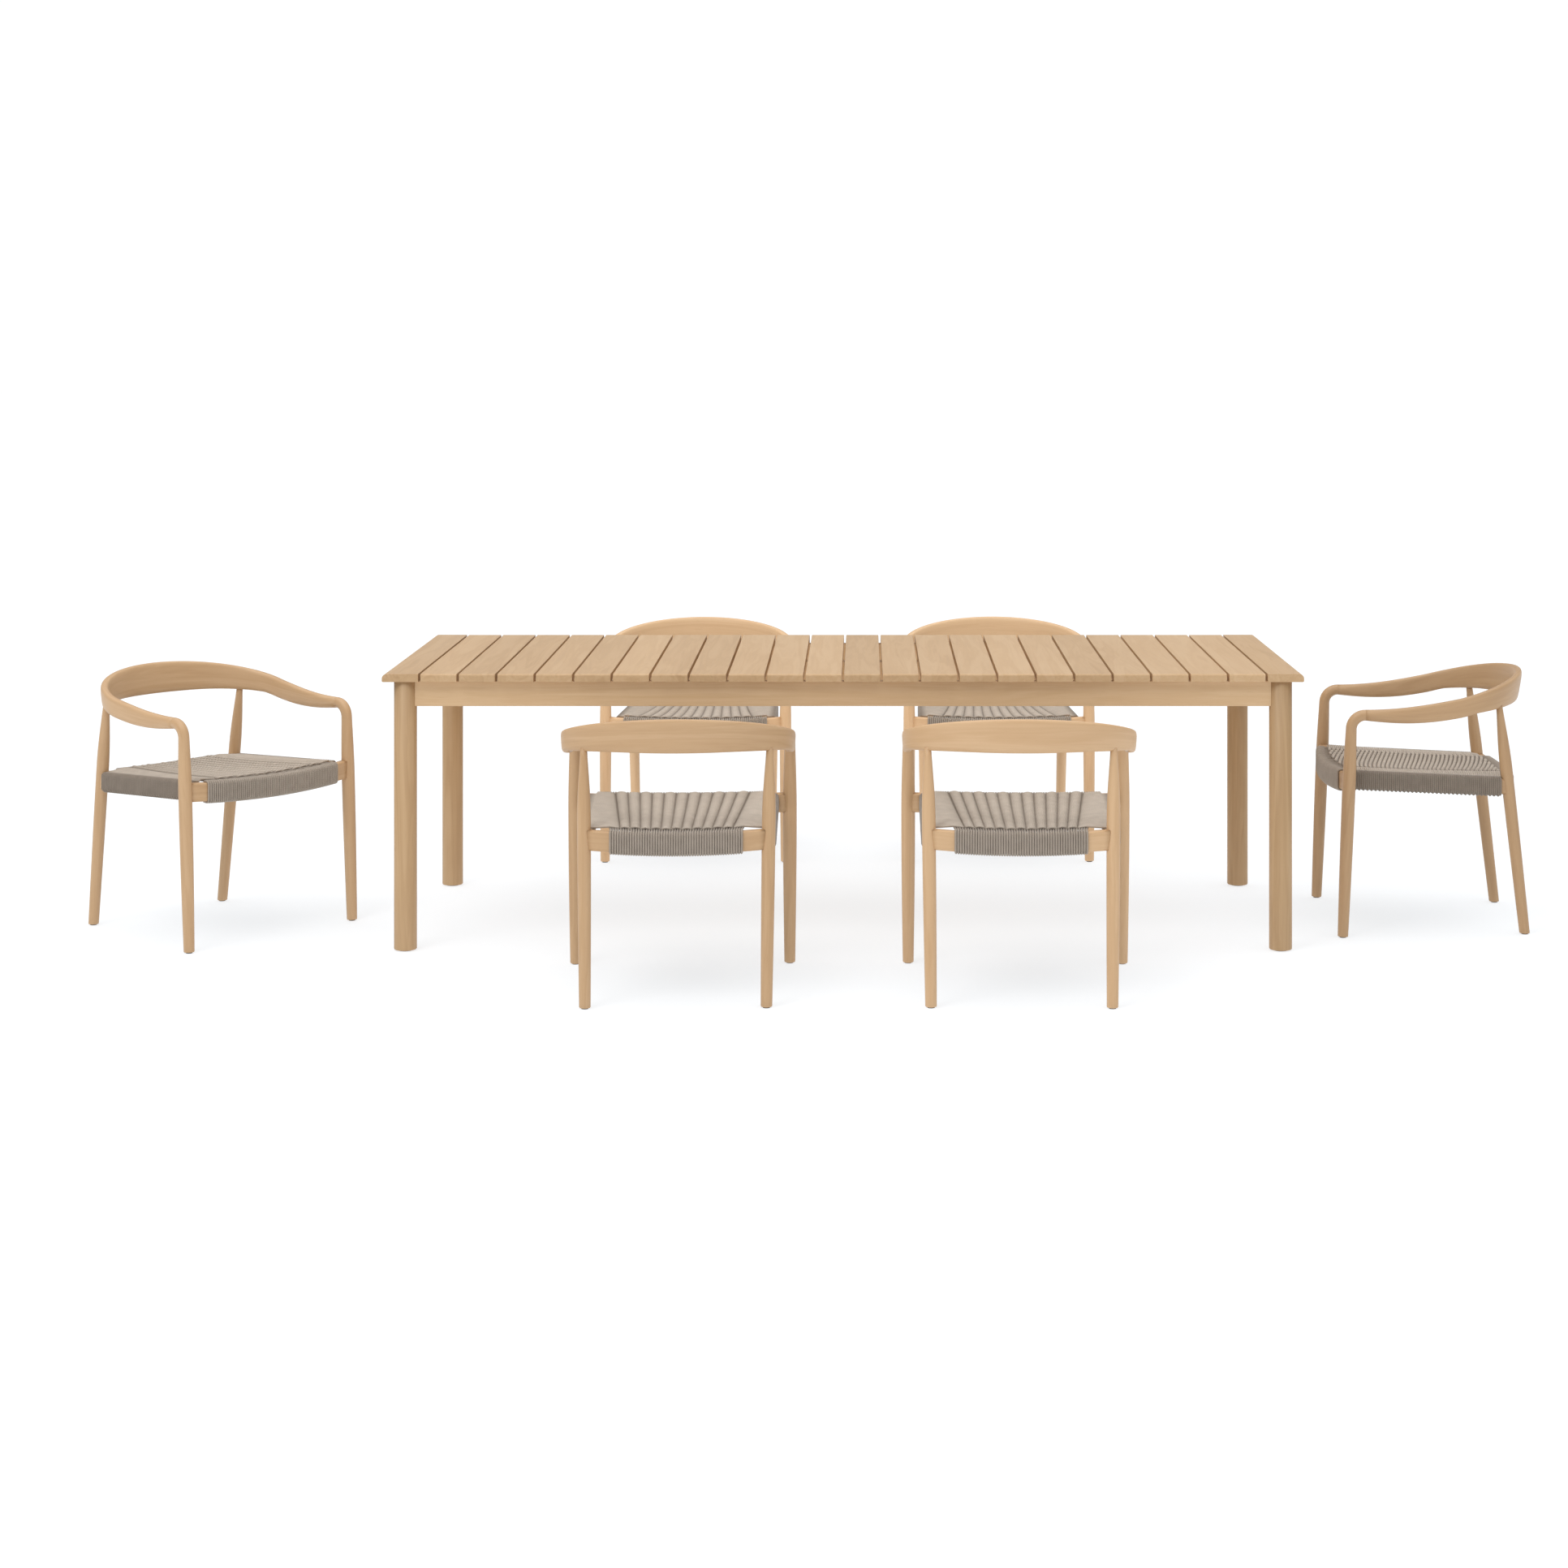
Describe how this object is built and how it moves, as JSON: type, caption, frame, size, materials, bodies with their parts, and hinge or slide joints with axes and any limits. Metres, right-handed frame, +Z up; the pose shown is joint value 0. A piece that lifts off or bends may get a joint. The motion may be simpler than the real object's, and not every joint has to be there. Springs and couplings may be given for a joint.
{
  "type": "patio dining set",
  "caption": "Rectangular slatted wooden dining table on round legs with matching bent-arm chairs that have woven cord seats, each chair sliding in and out.",
  "frame": {"origin": "on the floor, under the middle of the whole set's outline in plan", "axes": "+X along the table's length, +Y across the table towards its back chairs, +Z up"},
  "size_m": [4.078, 2.5661, 0.755],
  "materials": {
    "table_wood": "pale honey hardwood, satin, fine straight grain",
    "chair_wood": "pale honey hardwood, satin, rounded by hand",
    "inner_wood": "plain beech",
    "seat_cord": "taupe outdoor cord, round and tightly twisted",
    "fastener_steel": "plain stainless steel",
    "glide_plastic": "dark matt plastic"
  },
  "bodies": {
    "table": {"top_slats": "table_wood", "front_apron": "table_wood", "back_apron": "table_wood", "left_apron": "table_wood", "right_apron": "table_wood", "centre_rail": "table_wood", "table_legs": "table_wood", "corner_blocks": "inner_wood", "leg_bolts": "fastener_steel", "slat_screws": "fastener_steel", "table_glides": "glide_plastic"},
    "front_left_chair": {"front_left_arm_band": "chair_wood", "front_left_front_legs": "chair_wood", "front_left_back_legs": "chair_wood", "front_left_cross_rails": "chair_wood", "front_left_side_rails": "chair_wood", "front_left_seat_cord": "seat_cord", "front_left_dowels": "inner_wood", "front_left_glides": "glide_plastic"},
    "front_right_chair": {"front_right_arm_band": "chair_wood", "front_right_front_legs": "chair_wood", "front_right_back_legs": "chair_wood", "front_right_cross_rails": "chair_wood", "front_right_side_rails": "chair_wood", "front_right_seat_cord": "seat_cord", "front_right_dowels": "inner_wood", "front_right_glides": "glide_plastic"},
    "back_left_chair": {"back_left_arm_band": "chair_wood", "back_left_front_legs": "chair_wood", "back_left_back_legs": "chair_wood", "back_left_cross_rails": "chair_wood", "back_left_side_rails": "chair_wood", "back_left_seat_cord": "seat_cord", "back_left_dowels": "inner_wood", "back_left_glides": "glide_plastic"},
    "back_right_chair": {"back_right_arm_band": "chair_wood", "back_right_front_legs": "chair_wood", "back_right_back_legs": "chair_wood", "back_right_cross_rails": "chair_wood", "back_right_side_rails": "chair_wood", "back_right_seat_cord": "seat_cord", "back_right_dowels": "inner_wood", "back_right_glides": "glide_plastic"},
    "left_end_chair": {"left_end_arm_band": "chair_wood", "left_end_front_legs": "chair_wood", "left_end_back_legs": "chair_wood", "left_end_cross_rails": "chair_wood", "left_end_side_rails": "chair_wood", "left_end_seat_cord": "seat_cord", "left_end_dowels": "inner_wood", "left_end_glides": "glide_plastic"},
    "right_end_chair": {"right_end_arm_band": "chair_wood", "right_end_front_legs": "chair_wood", "right_end_back_legs": "chair_wood", "right_end_cross_rails": "chair_wood", "right_end_side_rails": "chair_wood", "right_end_seat_cord": "seat_cord", "right_end_dowels": "inner_wood", "right_end_glides": "glide_plastic"}
  },
  "joints": [
    {"name": "front_left_chair_slide", "type": "slide", "parent": "table", "child": "front_left_chair", "axis": [-0.0262, 0.9997, 0], "range_m": [-0.3, 0.42]},
    {"name": "front_right_chair_slide", "type": "slide", "parent": "table", "child": "front_right_chair", "axis": [0.0192, 0.9998, 0], "range_m": [-0.3, 0.42]},
    {"name": "back_left_chair_slide", "type": "slide", "parent": "table", "child": "back_left_chair", "axis": [0, -1, 0], "range_m": [-0.3, 0.62]},
    {"name": "back_right_chair_slide", "type": "slide", "parent": "table", "child": "back_right_chair", "axis": [0, -1, 0], "range_m": [-0.3, 0.62]},
    {"name": "left_end_chair_slide", "type": "slide", "parent": "table", "child": "left_end_chair", "axis": [0.7672, -0.6414, 0], "range_m": [-0.3, 0.28]},
    {"name": "right_end_chair_slide", "type": "slide", "parent": "table", "child": "right_end_chair", "axis": [-0.9997, 0.0244, 0], "range_m": [-0.3, 0.44]}
  ]
}
